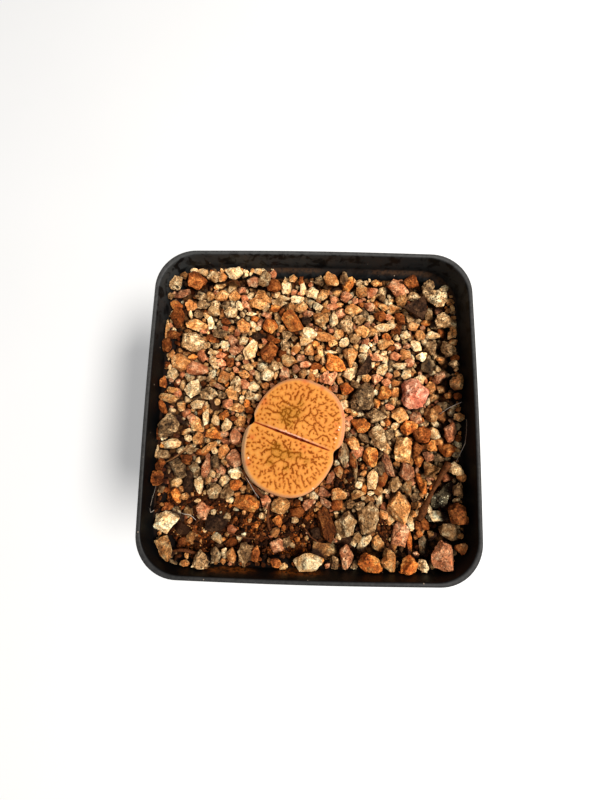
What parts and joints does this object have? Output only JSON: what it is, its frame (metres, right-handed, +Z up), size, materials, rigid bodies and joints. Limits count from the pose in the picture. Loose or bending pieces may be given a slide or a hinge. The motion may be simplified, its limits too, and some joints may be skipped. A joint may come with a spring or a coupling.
{
  "type": "potted lithops",
  "caption": "Living stone plant, a pair of fused patterned leaves with a fissure, in a small square tapered nursery pot topped with crushed stone.",
  "frame": {"origin": "middle of the pot's foot, on the surface that it stands on", "axes": "+Z up out of the pot, +X to the right and +Y to the top of the picture, along the pot's sides"},
  "size_m": [0.0658, 0.0658, 0.0581],
  "materials": {
    "pot_plastic": "satin black, dusty inside",
    "potting_mix": "loose dark peat and bark",
    "crushed_stone": "mixed crushed granite, quartz and pumice",
    "leaf": "waxy leaf skin with sunk lines"
  },
  "bodies": {
    "root": {"pot": "pot_plastic", "potting_mix": "potting_mix", "gravel": "crushed_stone", "lithops": "leaf"}
  },
  "joints": []
}
